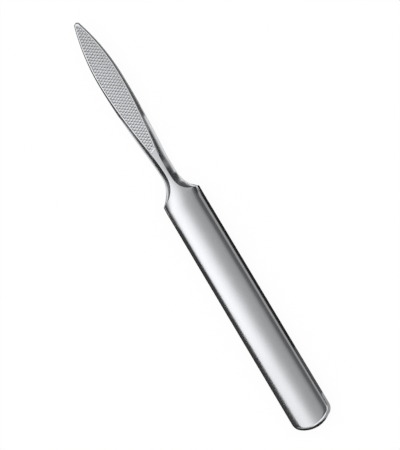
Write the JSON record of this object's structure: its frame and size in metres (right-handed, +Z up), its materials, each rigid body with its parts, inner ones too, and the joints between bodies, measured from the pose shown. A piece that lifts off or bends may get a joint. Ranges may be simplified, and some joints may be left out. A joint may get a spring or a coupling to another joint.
{
  "type": "bone file",
  "caption": "One-piece steel bone file: leaf-shaped blade with a cross-cut flat face, slim neck and flat crowned handle.",
  "frame": {"origin": "middle of the footprint, on the surface that the handle's back rests on", "axes": "+Y along the tool towards the blade's tip, +Z up out of the toothed face, +X across the tool"},
  "size_m": [0.0164, 0.18, 0.006],
  "materials": {
    "steel": "satin stainless steel, polished flanks, bare cut teeth"
  },
  "bodies": {
    "root": {"bone_file": "steel"}
  },
  "joints": []
}
